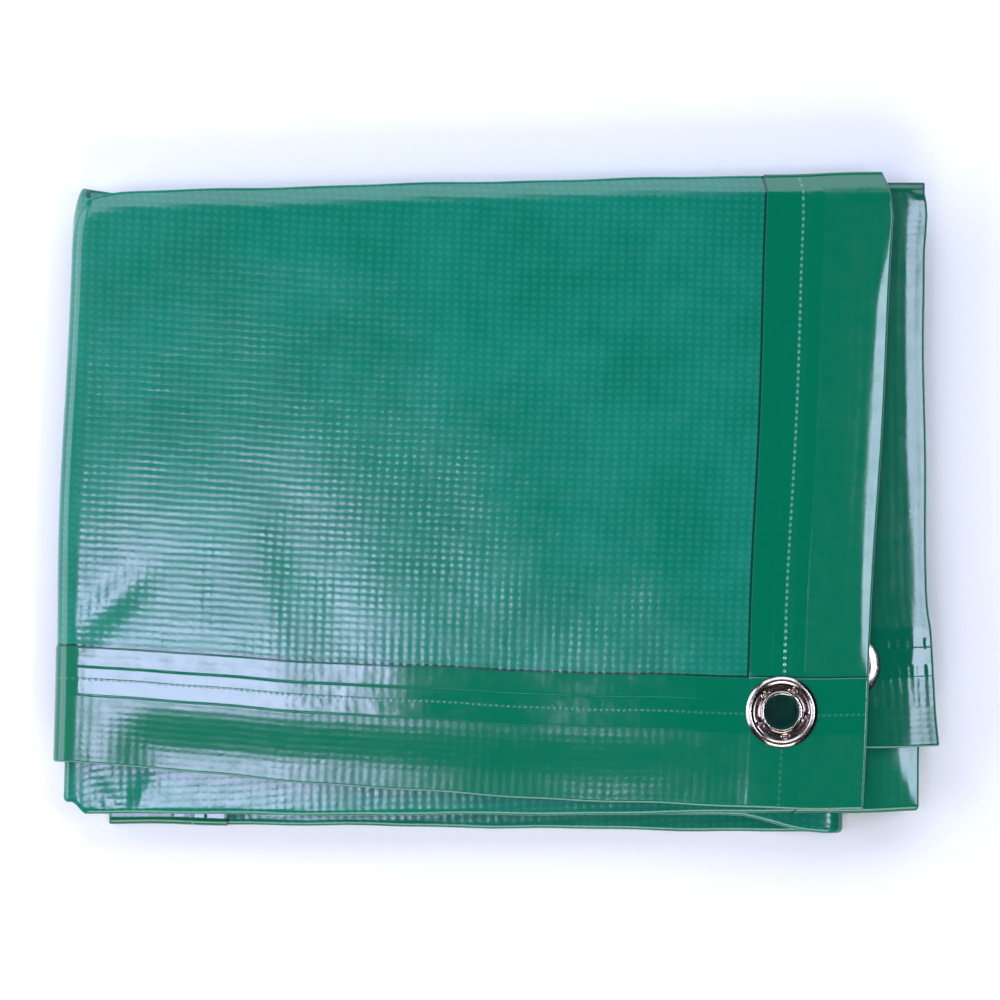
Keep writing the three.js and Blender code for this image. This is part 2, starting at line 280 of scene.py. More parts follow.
def sideFoldX(name, y):
    front, back, bow = sideFolds[name]
    share = np.clip((y - foldSpan[0]) / (foldSpan[1] - foldSpan[0]), 0, 1)
    return lerp(front, back, share) + bow * hump(share) + edgeWave("sideFold", y, front)


def middleSurface(rows, columns):
    panel = np.array([c[0] for c in columns])
    inHem = np.array([c[1] == "hem" for c in columns])
    share = np.array([c[2] for c in columns])
    angle = np.array([c[3] for c in columns])
    folding = angle > 0
    # a column's share of its whole panel, which the fold lines need
    firstEnd, lastStart = cloth["sideHemShares"]
    panelShare = np.where(
        panel == 0,
        np.where(inHem, firstEnd * share, lerp(firstEnd, 1, share)),
        np.where(panel == 2, np.where(inHem, lerp(lastStart, 1, share), lastStart * share), share),
    )
    middle = np.choose(panel, cloth["panelMiddles"])
    radius = cloth["sideFoldRadius"]
    endHem = cloth["hemWidthSide"]
    points = np.zeros((len(rows), len(columns), 3))
    for i, (k, plyShare, turnAngle, turning) in enumerate(rows):
        ply = plies[k]
        fromY = plyEndY(ply["from"], panel, panelShare)
        toY = plyEndY(ply["to"], panel, panelShare)
        if turning:
            turn = turns[k]
            power = 2 / turn["full"]
            start = turn["toBack"] * turn["washerOut"]
            cosine = math.cos(turnAngle)
            y = toY + turn["toBack"] * turn["reach"] * abs(math.sin(turnAngle)) ** power
            w = turn["level"] + start * turn["radius"] * math.copysign(abs(cosine) ** power, cosine)
            along = np.full(len(columns), 1.0)
        else:
            y = lerp(fromY, toY, plyShare)
            w = ply["level"]
            along = np.full(len(columns), plyShare)
        w = w * cloth["plyPitch"]
        leftX = sideFoldX("left", y)
        rightX = sideFoldX("right", y)
        (fromTopX, fromEndX), (toTopX, toEndX) = foldLines[ply["from"]]["x"], foldLines[ply["to"]]["x"]
        topX = lerp(fromTopX, toTopX, along)
        topHem = np.full(len(columns), cloth["hemWidthTop"])
        if k == 0:
            topX = np.interp(y, *topEdgeByY) + edgeWave("topEdge", y)
            topHem = np.interp(y, *topHemByY)
        if k == 3:
            topX = np.interp(y, *innerEdgeByY) + edgeWave("innerEdge", y)
        else:
            topX = topX - roundedCorner["by"] * grown(y, roundedCorner["ySpan"]) ** 2
        endX = lerp(fromEndX, toEndX, along)
        x0 = np.where(inHem, topX - topHem * share, lerp(topX - topHem, leftX, share))
        x1 = lerp(leftX, rightX, share)
        x2 = np.where(inHem, endX + endHem * (1 - share), lerp(rightX, endX + endHem, share))
        x = np.choose(panel, [x0, x1, x2])
        z = middle + np.where(panel == 1, -w, w)
        # the two side folds
        outward = np.where(panel == 0, -1.0, 1.0)
        r = radius - outward * w
        foldX = np.where(panel == 0, leftX, rightX)
        bulge = np.abs(np.sin(angle)) ** cloth["sideFoldPower"]
        rise = np.sign(np.cos(angle)) * np.abs(np.cos(angle)) ** cloth["sideFoldPower"]
        x = np.where(folding, foldX + outward * r * bulge, x)
        z = np.where(folding, middle - radius + r * rise, z)
        points[i] = np.stack([x, y, z], axis=1)
    return points, panel, inHem, folding


def distanceToLine(x, y, first, second):
    runX, runY = second["x"] - first["x"], second["y"] - first["y"]
    share = ((x - first["x"]) * runX + (y - first["y"]) * runY) / (runX**2 + runY**2)
    share = np.clip(share, 0, 1)
    return np.hypot(x - first["x"] - share * runX, y - first["y"] - share * runY)


def tentHeight(x, y, z):
    lift = 0.0
    for tent in tents:
        above, below = layerHeight(tent["layer"]), layerHeight(tent["layer"] - 1)
        first, second = (eyeletSets[n] for n in tent["ends"])
        fall = np.clip((distanceToLine(x, y, first, second) - tentFlat) / tentFall, 0, 1)
        rise = np.clip((z - below) / (above - below), 0, 1)
        if first["panel"] > 0:
            rise = rise * (1 - smooth((z - layerHeight(pliesPerPanel)) / tentFade))
        lift = lift + tent["lift"] * rise * 0.5 * (1 + np.cos(np.pi * fall))
    return lift


# Soft waves that every layer shares, as shares of its height, so that the gaps between layers stay
unevenness = {
    "leftRidge": 0.004,  # beside the left fold, where the stack springs up
    "leftRidgeInset": (9.5, 0.02, -40),  # from the fold, and how fast it grows from which Y
    "leftRidgeWidth": 7.5,
    "leftRidgeGrowth": (0.55, 0.45, (-60, 150)),
    "rightRidge": 0.010,
    "rightRidgeX": 124,
    "rightRidgeWidth": 9,
    "rightRidgeSpan": (-70, 60),
    "slow": 0.010,
    "slowWave": (31, 0.8, 38, 2.0),  # mm to a radian and phase, along X and along Y
    "small": 0.0022,
    "smallWaves": [(9.5, 23, 1.1), (-37, 11.5, 4.0)],  # mm to a radian along X and Y, and phase
    "frontEase": 0.006,  # the front folds press down a little at the left
    "frontSpan": (-86, -26),
    "frontGrowth": (0.4, 0.6, (-20, -120)),
    "tilt": 0.050,  # below the front weld the hem dips, and lies flat again at its edge
    "tiltSpan": (25.5, -20),  # by the distance from the free edge
    "tiltStart": (-146, 27),  # and along X
    "tiltEnd": (10, 130),
}
freeEdgeByX = ([-151, -70, 0, 95], [-94, -100, -104.8, -107.3])

# Soft creases, given one by one: middle, bearing in degrees, half length, half width and rise, in mm
creases = [
    (-140.8, -105.6, 132, 6.0, 2.6, -0.34),  # two that run out from the pinch in the front folds
    (-126.5, -104.0, 54, 6.5, 2.6, -0.34),
    (-139.5, -36.5, 42, 17.0, 5.5, -0.42),  # a leaf beside the left fold
    (-101.0, -36.0, 88, 20.0, 4.0, -0.13),  # uprights that break the shine above the hem
    (-82.0, -30.0, 96, 26.0, 6.0, 0.16),
    (-58.0, -38.0, 84, 16.0, 5.0, -0.12),
    (61.0, -28.0, 30, 13.0, 9.0, 0.20),
    (36.0, 92.0, 4, 30.0, 6.0, 0.16),  # under the back fold
    (-70.0, 88.0, -8, 24.0, 7.0, 0.14),
    (-12.0, 20.0, 64, 34.0, 8.0, -0.14),
    (121.5, -82.0, 20, 5.5, 4.0, 0.16),  # beside the eyelet
    (131.0, 10.0, 86, 40.0, 3.2, -0.10),
    (-126.0, 40.0, 78, 38.0, 5.0, 0.12),
]


def waviness(x, y):
    inset, widening, insetY = unevenness["leftRidgeInset"]
    ridgeX = sideFoldX("left", y) + inset + widening * (y - insetY)
    least, more, span = unevenness["leftRidgeGrowth"]
    g = unevenness["leftRidge"] * bell(x, ridgeX, unevenness["leftRidgeWidth"])
    g = g * (least + more * grown(y, span))
    ridge = bell(x, unevenness["rightRidgeX"], unevenness["rightRidgeWidth"])
    g = g + unevenness["rightRidge"] * ridge * grown(y, unevenness["rightRidgeSpan"])
    alongX, phaseX, alongY, phaseY = unevenness["slowWave"]
    g = g + unevenness["slow"] * np.sin(x / alongX + phaseX) * np.sin(y / alongY + phaseY)
    small = [np.sin(x / alongX + y / alongY + phase) for alongX, alongY, phase in unevenness["smallWaves"]]
    g = g + unevenness["small"] * sum(small)
    least, more, span = unevenness["frontGrowth"]
    ease = unevenness["frontEase"] * grown(y, unevenness["frontSpan"])
    g = g - ease * (least + more * grown(x, span))
    tilted = grown(x, unevenness["tiltStart"]) * (1 - grown(x, unevenness["tiltEnd"]))
    dip = grown(y - np.interp(x, *freeEdgeByX), unevenness["tiltSpan"])
    g = g - unevenness["tilt"] * dip * tilted
    for cx, cy, bearing, halfLength, halfWidth, rise in creases:
        turn = math.radians(bearing)
        along = (x - cx) * math.cos(turn) + (y - cy) * math.sin(turn)
        aside = (y - cy) * math.cos(turn) - (x - cx) * math.sin(turn)
        g = g + rise / layerHeight(topLayer) * bell(along, 0, halfLength) * bell(aside, 0, halfWidth)
    return g


# Millimetres of flat cloth from each point to the nearer of the first and last column
def fromNearerEdge(points, flap, hemWidth):
    steps = np.linalg.norm(np.diff(points, axis=1), axis=2)
    run = np.concatenate([np.zeros_like(steps[:, :1]), np.cumsum(steps, axis=1)], axis=1)
    flat = []
    for length, hemEnd in ((run, flap), (run[:, -1:] - run, -1 - flap)):
        hemLength = length[:, hemEnd, None]
        inHem = length * hemWidth / hemLength
        flat.append(np.where(length < hemLength, inHem, hemWidth + length - hemLength))
    return np.minimum(*flat)


# The top ply's back left corner is rounded, and the panel under it sticks out behind it like an ear
earCorner = {"x": -153, "width": 11, "ySpan": (92, 22), "zSpan": (13.5, 5)}
earReach = (2.1, -2.6)  # towards the back, in the lower panels and in the top one
earInward = 1.2
# The front left corner of the folds is cut off slantwise
cutCorner = {"x": -148.4, "width": 3.6, "ySpan": (-103, -8), "depth": 4.2}

rows = listRows()
columns = listColumns()
surface, panel, inHem, folding = middleSurface(rows, columns)
corner = bell(surface[..., 0], earCorner["x"], earCorner["width"])
corner = corner * grown(surface[..., 1], earCorner["ySpan"])
inTop = grown(surface[..., 2], earCorner["zSpan"])
surface[..., 1] += corner * lerp(*earReach, inTop)
surface[..., 0] += earInward * corner * inTop
corner = np.clip((cutCorner["x"] - surface[..., 0]) / cutCorner["width"], 0, 1)
corner = corner * grown(surface[..., 1], cutCorner["ySpan"])
surface[..., 1] += cutCorner["depth"] * corner
rowPly = np.array([r[0] for r in rows])
rowShare = np.array([r[1] for r in rows])
rowTurning = np.array([r[3] for r in rows])
columnShare = np.array([c[2] for c in columns])
rowCount, columnCount = surface.shape[:2]

flatU = fromNearerEdge(surface, len(sideShares) + 1, cloth["hemWidthSide"])
flatV = fromNearerEdge(surface.transpose(1, 0, 2), len(frontShares) + 1, cloth["hemWidthFront"]).T

# Height: tents over the eyelets, the overhang on the right, and the waves
x, y, z = surface[..., 0], surface[..., 1], surface[..., 2]
lift = tentHeight(x, y, z)
inTopPanel = (panel == 0)[None, :] & np.ones((rowCount, 1), bool)
inInnerPly = ((rowPly == 3) & ~rowTurning)[:, None]
overStart = np.where(inInnerPly, np.interp(y, *overhangByY["inner"]), np.interp(y, *overhangByY["folded"]))
overhang = np.clip(x - overStart, 0, None)
droop = overhanging["lean"] * np.clip(x - overhanging["leanFrom"], 0, None)
droop = droop + overhanging["droop"] * overhang**2 / (overhang + overhanging["droopEase"])
droop = np.where(inTopPanel, droop, 0.0)
topPly = inTopPanel & ((rowPly == 0) & ~rowTurning)[:, None] & ~folding[None, :]
pastCurl = np.clip(x - np.interp(y, *topEdgeByY) + np.interp(y, *curlWidthByY), 0, None)
curl = np.where(topPly, overhanging["curl"] * pastCurl**2 / (pastCurl + overhanging["curlEase"]), 0.0)
softU = 1 - smooth((flatU - cloth["hemWidthSide"]) / cloth["hemEase"])
softV = 1 - smooth((flatV - cloth["hemWidthFront"]) / cloth["hemEase"])
flush = np.where((panel == 2)[None, :], cloth["flushHem"] * softU, 0.0)
z = (z + lift - droop) * (1 + waviness(x, y)) + curl + flush - cloth["settle"]
surface = np.stack([x - cloth["shift"][0], y - cloth["shift"][1], z], axis=2)

alongRows = np.gradient(surface, axis=0)
alongColumns = np.gradient(surface, axis=1)
normal = np.cross(alongRows, alongColumns)
normal /= np.linalg.norm(normal, axis=2, keepdims=True)

hemU = (inHem & ~((panel == 0) & (columnShare == 1.0)))[None, :]
inFirstHem = (rowPly == 0) & (rowShare < cloth["frontHemShare"] - 1e-9)
inLastHem = (rowPly == 3) & (rowShare > 1 - cloth["frontHemShare"] + 1e-9)
hemV = ((inFirstHem | inLastHem) & ~rowTurning)[:, None]
onTop = cloth["plainTop"] + cloth["hemTop"] * (hemU | hemV)
onTop = onTop + cloth["cornerTop"] * hemV * (1 - grown(flatU, cloth["cornerSpan"]))
under = cloth["plainUnder"] + cloth["hemUnder"] * np.maximum(softU, softV)
washerSide = surface + normal * onTop[..., None]
smoothSide = surface - normal * under[..., None]
print("sheet laid out:", rowCount, "rows,", columnCount, "columns")


# The cells in which an eyelet's hole is cut
def holeCells(cells):
    centre = surface.reshape(-1, 3)[cells].mean(axis=2)
    holes = np.zeros(cells.shape[:2], bool)
    for eyelet in eyeletSets:
        offX = centre[..., 0] - eyelet["x"] + cloth["shift"][0]
        offY = centre[..., 1] - eyelet["y"] + cloth["shift"][1]
        onPly = ((rowPly[:-1] == eyelet["ply"]) & ~rowTurning[:-1])[:, None]
        onPanel = (panel[:-1] == eyelet["panel"])[None, :]
        holes |= (np.hypot(offX, offY) < cloth["holeRadius"]) & onPly & onPanel
    return holes


# One closed skin: washer side, smooth side, the rounded rim and the eyelets' holes
def sheetMesh():
    points = [washerSide.reshape(-1, 3), smoothSide.reshape(-1, 3)]
    at = np.arange(rowCount * columnCount).reshape(rowCount, columnCount)
    cells = np.stack([at[:-1, :-1], at[1:, :-1], at[1:, 1:], at[:-1, 1:]], axis=2)
    holes = holeCells(cells)
    offset = rowCount * columnCount
    kept = cells[~holes]
    faces = [kept, (kept + offset)[:, ::-1]]
    walls = []
    for i, j in zip(*np.nonzero(holes)):
        ring = cells[i, j]
        for k, (di, dj) in enumerate([(0, -1), (1, 0), (0, 1), (-1, 0)]):
            if not holes[i + di, j + dj]:
                p, q = ring[k], ring[(k + 1) % 4]
                walls.append([p, q, q + offset, p + offset])
    faces.append(np.array(walls))
    lastRow, lastColumn = rowCount - 1, columnCount - 1
    loop = [(0, j) for j in range(columnCount)] + [(i, lastColumn) for i in range(1, rowCount)]
    loop += [(lastRow, j) for j in range(lastColumn - 1, -1, -1)]
    loop += [(i, 0) for i in range(lastRow - 1, 0, -1)]
    rim = tuple(np.array(loop).T)
    inward = tuple(np.clip(loop, [1, 1], [lastRow - 1, lastColumn - 1]).T)
    outward = surface[rim] - surface[inward]
    top, bottom = washerSide[rim], smoothSide[rim]
    half = (top - bottom) / 2
    thick = np.linalg.norm(half, axis=1, keepdims=True)
    outward -= half * ((outward * half).sum(axis=1, keepdims=True) / thick**2)
    outward /= np.linalg.norm(outward, axis=1, keepdims=True)
    levels = [at[rim]]
    start = 2 * offset
    rimShares = [n / (cloth["rimSteps"] + 1) for n in range(1, cloth["rimSteps"] + 1)]
    for share in rimShares:
        theta = math.pi * share
        points.append((top + bottom) / 2 + half * math.cos(theta) + outward * thick * math.sin(theta))
        levels.append(start + np.arange(len(loop)))
        start += len(loop)
    levels.append(levels[0] + offset)
    for first, second in zip(levels, levels[1:]):
        faces.append(np.stack([first, np.roll(first, -1), np.roll(second, -1), second], axis=1))
    points = np.concatenate(points)
    faces = np.concatenate(faces)
    flat = np.stack([flatU, flatV], axis=2)
    onSides = [flat.reshape(-1, 2)] * 2
    flat = np.concatenate(onSides + [flat[rim]] * cloth["rimSteps"])
    rimSides = [np.full(len(loop), 1 - share) for share in rimShares]
    isWasher = np.concatenate([np.ones(offset), np.zeros(offset)] + rimSides)
    mesh = bpy.data.meshes.new("tarpCloth")
    mesh.from_pydata((points / 1000).tolist(), [], faces.tolist())
    loops = np.zeros(len(mesh.loops), np.int32)
    mesh.loops.foreach_get("vertex_index", loops)
    layer = mesh.uv_layers.new(name="flat")
    layer.data.foreach_set("uv", (flat[loops] / 1000).astype(np.float32).ravel())
    side = mesh.attributes.new("washerSide", "FLOAT", "POINT")
    side.data.foreach_set("value", isWasher.astype(np.float32))
    mesh.shade_smooth()
    mesh.set_sharp_from_angle(angle=math.radians(cloth["sharpAngle"]))
    return mesh


def placed(name, data):
    piece = bpy.data.objects.new(name, data)
    bpy.context.collection.objects.link(piece)
    return piece


tarpCloth = placed("tarp_cloth", sheetMesh())
print("sheet built:", len(tarpCloth.data.polygons), "faces")


# Eyelet sets. Heights are from the middle of the hem, washer side up, in millimetres.
metal = {
    "eyelet": [
        (6.3, 1.7), (6.42, 1.98), (6.8, 2.1), (7.3, 2.04), (7.66, 1.75), (7.7, 1.45), (7.45, 1.28),
        (7.0, 1.34), (6.8, 1.1), (6.75, -0.45), (7.1, -0.56), (12.2, -0.56), (12.5, -0.66), (12.3, -0.84),
        (10.8, -1.2), (8.8, -1.42), (7.2, -1.36), (6.5, -1.05), (6.3, -0.5),
    ],
    "washer": [
        (7.35, 1.3), (7.6, 1.4), (8.6, 1.27), (9.8, 1.28), (10.5, 1.42), (10.95, 1.74), (11.4, 1.84),
        (11.95, 1.76), (12.5, 1.42), (12.92, 1.1), (12.96, 0.97), (12.7, 0.95), (12.1, 1.2), (11.4, 1.4),
        (10.9, 1.25), (10.3, 0.98), (7.35, 0.96),
    ],
    "roundingSteps": 2,
    "roundingShare": 0.22,  # of each stretch of the outline
    "sides": 128,
    "hiddenSides": 48,
    "teeth": 5,
    "toothTurn": 62.0,
    "toothRadius": 9.0,
    "toothWidth": 1.25,
    "toothTaper": 0.85,
    "toothWidths": (0.05, 2.2),  # the least and the most
    "toothLength": 1.15,
    "toothDepth": 0.3,
    "toothSteepness": 2.2,
    "washerTop": 1.15,  # above it is the washer's face, which the teeth dent
    "lip": (6.6, 1.2),  # radius and height beyond which the rolled lip lies
    # waves around the lip: their number, phase and size
    "lipOut": [(3, 1, 0.05), (11, 0, 0.035), (29, 0, 0.02)],
    "lipUp": [(5, 2, 0.025), (17, 0, 0.02)],
}


def rounded(outline, steps):
    ring = np.array(outline)
    share = metal["roundingShare"]
    for _ in range(steps):
        after = np.roll(ring, -1, axis=0)
        near, far = (1 - share) * ring + share * after, share * ring + (1 - share) * after
        ring = np.stack([near, far], axis=1).reshape(-1, 2)
    return ring


def wavesAround(angle, waves):
    return sum(size * np.sin(count * angle + phase) for count, phase, size in waves)


def turnedMesh(name, outline, sides, kind):
    ring = rounded(outline, metal["roundingSteps"])
    angles = np.linspace(0, 2 * np.pi, sides, endpoint=False)
    radius = np.repeat(ring[:, 0][:, None], sides, axis=1)
    height = np.repeat(ring[:, 1][:, None], sides, axis=1)
    angle = np.repeat(angles[None, :], len(ring), axis=0)
    if kind == "washer":
        # five punched teeth, each a small triangular dent in the trough
        for n in range(metal["teeth"]):
            toothAngle = math.radians(metal["toothTurn"] + 360 / metal["teeth"] * n)
            side = (np.mod(angle - toothAngle + np.pi, 2 * np.pi) - np.pi) * radius
            out = radius - metal["toothRadius"]
            width = np.clip(metal["toothWidth"] - metal["toothTaper"] * out, *metal["toothWidths"])
            dent = np.clip(1 - np.abs(side) / width, 0, 1)
            dent = dent * np.clip(1 - np.abs(out) / metal["toothLength"], 0, 1)
            dent = np.minimum(1, metal["toothSteepness"] * dent)
            height = height - metal["toothDepth"] * dent * (height > metal["washerTop"])
    else:
        # the rolled lip is a little uneven
        lipRadius, lipHeight = metal["lip"]
        lip = (height > lipHeight) * (radius > lipRadius)
        radius = radius + lip * wavesAround(angle, metal["lipOut"])
        height = height + lip * wavesAround(angle, metal["lipUp"])
    points = np.stack([radius * np.cos(angle), radius * np.sin(angle), height], axis=2)
    profile = len(ring)
    at = np.arange(profile * sides).reshape(profile, sides)
    nextRing, nextSide = np.roll(at, -1, axis=0), np.roll(at, -1, axis=1)
    faces = np.stack([at, nextSide, np.roll(nextRing, -1, axis=1), nextRing], axis=2).reshape(-1, 4)
    mesh = bpy.data.meshes.new(name)
    mesh.from_pydata((points.reshape(-1, 3) / 1000).tolist(), [], faces.tolist())
    return mesh


def setHeight(eyelet):
    height = layerHeight(eyelet["layer"])
    ex, ey = np.array(eyelet["x"]), np.array(eyelet["y"])
    flushHem = cloth["flushHem"] if eyelet["panel"] == 2 else 0.0
    raised = (height + tentHeight(ex, ey, height)) * (1 + waviness(ex, ey))
    return float(raised + flushHem - cloth["settle"])


metalPieces = []
for eyelet in eyeletSets:
    sides = metal["sides"] if eyelet["panel"] == 0 else metal["hiddenSides"]
    for kind in ("eyelet", "washer"):
        name = kind + "_" + eyelet["name"]
        mesh = turnedMesh(name, metal[kind], sides, kind)
        place = (eyelet["x"] - cloth["shift"][0], eyelet["y"] - cloth["shift"][1], setHeight(eyelet))
        for vertex in mesh.vertices:
            if eyelet["washerUp"] < 0:
                vertex.co.y, vertex.co.z = -vertex.co.y, -vertex.co.z
            vertex.co += Vector(place) / 1000
        fix = bmesh.new()
        fix.from_mesh(mesh)
        bmesh.ops.recalc_face_normals(fix, faces=fix.faces)
        fix.to_mesh(mesh)
        fix.free()
        mesh.shade_smooth()
        piece = placed(name + "_metal", mesh)
        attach(piece, "root")
        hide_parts(name)
        metalPieces.append(piece)
print("eyelet sets built:", len(metalPieces), "pieces")


def srgb(code):
    values = [int(code[n : n + 2], 16) / 255 for n in (1, 3, 5)]
    return tuple(v / 12.92 if v <= 0.04045 else ((v + 0.055) / 1.055) ** 2.4 for v in values) + (1.0,)


# A node given as an input stands for the first of its outputs in use
def add(tree, kind, inputs=None, **settings):
    node = tree.nodes.new(kind)
    for name, value in settings.items():
        setattr(node, name, value)
    for key, value in (inputs or {}).items():
        if isinstance(value, bpy.types.Node):
            value = next(socket for socket in value.outputs if socket.enabled)
        if isinstance(value, bpy.types.NodeSocket):
            tree.links.new(value, node.inputs[key])
        else:
            node.inputs[key].default_value = value
    return node


def newMaterial(name):
    material = bpy.data.materials.new(name)
    material.use_nodes = True
    material.node_tree.nodes.clear()
    return material, material.node_tree


def setStops(ramp, stops):
    elements = ramp.color_ramp.elements
    while len(elements) > 1:
        elements.remove(elements[-1])
    elements[0].position = stops[0][0]
    elements[0].color = (stops[0][1],) * 3 + (1,)
    for position, value in stops[1:]:
        elements.new(position).color = (value,) * 3 + (1,)


def shade(tree, inputs):
    shader = add(tree, "ShaderNodeBsdfPrincipled", inputs)
    add(tree, "ShaderNodeOutputMaterial", {0: shader})


# Patterns are laid out in millimetres
def inMillimetres(tree, place):
    return add(tree, "ShaderNodeVectorMath", {0: place, 1: (1000, 1000, 1000)}, operation="MULTIPLY")


# The inputs of a range: from low and high, to low and high
def fromTo(span):
    return dict(enumerate(span, 1))


# Soft patches: the middle range of a noise, stretched to a span
def patches(tree, place, noise, span):
    spots = add(tree, "ShaderNodeTexNoise", {"Vector": place, **noise})
    return add(tree, "ShaderNodeMapRange", {0: spots, **fromTo(span)})


# A line that is full up to one distance from its middle and gone at another
def lineAt(tree, value, centre, full, gone, strength=1.0):
    off = add(tree, "ShaderNodeMath", {0: value, 1: centre}, operation="SUBTRACT")
    off = add(tree, "ShaderNodeMath", {0: off}, operation="ABSOLUTE")
    return add(tree, "ShaderNodeMapRange", {0: off, **fromTo((full, gone, strength, 0.0))})


# Woven polyester, coated on both sides with plasticised PVC and calendered glossy: the weave shows as
# small pillows under a smooth film, and the welded bands of the hem are flat and darker, with a clear gloss
vinyl = {
    "green": "#056F54",  # single cloth
    "greenThinFilmAndGlint": "#1A846C",  # where the film is thin over the threads, and partly a painted glint of the weave
    "greenHem": "#006B4A",  # the doubled hem lets no light through and looks deeper
    "greenDeepAndShade": "#00593F",  # the smooth side, partly its own deeper green and partly painted shade, darkened to match the shaded lower layers
    "smoothSide": 0.9,  # how far it is of its own green
    # a dark gap at the hem's joint, and painted shadow in its step
    "stepGapAndShadow": "#002A22",
    "paleEdgeAndHighlight": "#86B4B0",  # the cut shows the white base cloth; pale and bluish, it is also a painted highlight along the rounded rims and cut edges
    # painted highlight: glints on the welding wheel's dashes
    "dashGlint": "#8FC4BE",
    "shade": "#00201E",
    "wellAt": (102.82, -75.03, 20.5),  # mm, on the ply under the open eyelet
    "well": (5.4, 6.6, 0.8, 0.0),
    "threadPitches": (3.13, 2.60),  # mm from one thick thread to the next, across and down
    "weaveHeights": (0.0054, 0.0050, 0.012),  # mm: ribs across, ribs down, pillows at the crossings
    "pillow": (0.0, 0.8, 0.0, 0.5),
    "wanderNoise": {"Scale": 0.22, "Detail": 1.0},
    "wander": (0.9, 0.9, 0),  # mm that a thread leaves its line
    # soft patches: scale per mm, and the span that the noise is stretched to
    "film": ({"Scale": 0.09, "Detail": 3.0, "Roughness": 0.6}, (0.35, 0.65, 0.55, 1.25)),
    "weldWear": ({"Scale": 0.3, "Detail": 3.0}, (0.35, 0.6, 1.0, 0.82)),
    "tone": ({"Scale": 0.035, "Detail": 2.0}, (0.3, 0.7, 0.0, 0.45)),
    "scuff": ({"Scale": 0.14, "Detail": 5.0, "Roughness": 0.65}, (0.35, 0.7, -0.02, 0.04)),
    "dentNoise": {"Scale": 0.05, "Detail": 3.5, "Roughness": 0.5},
    "dentHeight": 0.10,
    "hemTexture": 0.7,  # how much of the weave shows through the doubled hem
    "imprint": 0.024,  # mm, of the ribs where the weld shows through to the smooth side
    "roughness": 0.15,
    "weldRoughness": 0.06,
    "ior": 1.53,  # PVC film
    # the hems' inner ends, in mm from the free edge
    "frontHemEnd": (45.9, 46.3, 1.0, 0.0),
    "sideHemEnd": (42.4, 42.8, 1.0, 0.0),
    "pastFront": (44.0, 46.0, 0.3, 1.0),  # under the front hem a trace of the side weld shows
    # the painted line of shadow and highlight in the step beside the hem: middle, full and gone
    "frontStep": (46.35, 0.25, 0.5),
    "sideStep": (42.85, 0.3, 0.6),
    "sideStepFrom": 45.8,  # it starts where the front hem ends
    "stepLine": 0.85,
    "rim": (0.02, 0.14, 0.0, 0.55),
    # the welding wheel's marks, in the middle of each weld: distance from the edge and period
    "sideDashes": (29.9, 2.4),
    "frontDashes": (33.0, 2.1),
    "dashWidth": (0.15, 0.6),
    "dashBeat": (-0.3, 0.6, 0.1, 1.0),
    "frontDashShare": 0.3,
    "dashHeight": 0.05,
    "dashGlintStrength": 0.4,
    "lineHeight": 0.11,
    "rampSpan": 50.0,
    # by distance in mm from the free edge
    "ramps": {
        # how flat the weld has pressed the weave
        "frontWeld": [
            (0, 0.0), (25.4, 0.0), (26.9, 0.92), (37.2, 0.92), (38.6, 0.8), (45.4, 0.75), (46.2, 0.1),
            (48, 0.0),
        ],
        "sideWeld": [
            (0, 0.0), (22.0, 0.0), (23.4, 0.92), (26.4, 0.85), (27.2, 0.3), (28.6, 0.3), (29.3, 0.92),
            (42.2, 0.92), (43.4, 0.0),
        ],
        # grooves and beads left by the welding wheel and its guide, 0.5 is level
        "frontLines": [
            (0, 0.5), (26.0, 0.5), (26.6, 0.2), (27.2, 0.5), (32.7, 0.5), (33.1, 0.62), (33.5, 0.5),
            (37.3, 0.5), (37.9, 0.12), (38.6, 0.5), (44.2, 0.5), (45.2, 0.62), (46.0, 0.45), (46.7, 0.5),
        ],
        "sideLines": [
            (0, 0.5), (22.1, 0.5), (22.7, 0.2), (23.3, 0.5), (26.6, 0.5), (27.8, 0.72), (29.0, 0.5),
            (34.0, 0.5), (34.6, 0.15), (35.2, 0.5), (40.6, 0.5), (41.3, 0.66), (42.2, 0.4), (42.8, 0.5),
        ],
        "imprint": [
            (0, 0.0), (14.0, 0.0), (16.5, 0.6), (30.5, 1.0), (32.0, 0.0), (37.0, 0.0), (37.8, 1.0),
            (41.4, 1.0), (42.2, 0.0),
        ],
    },
}


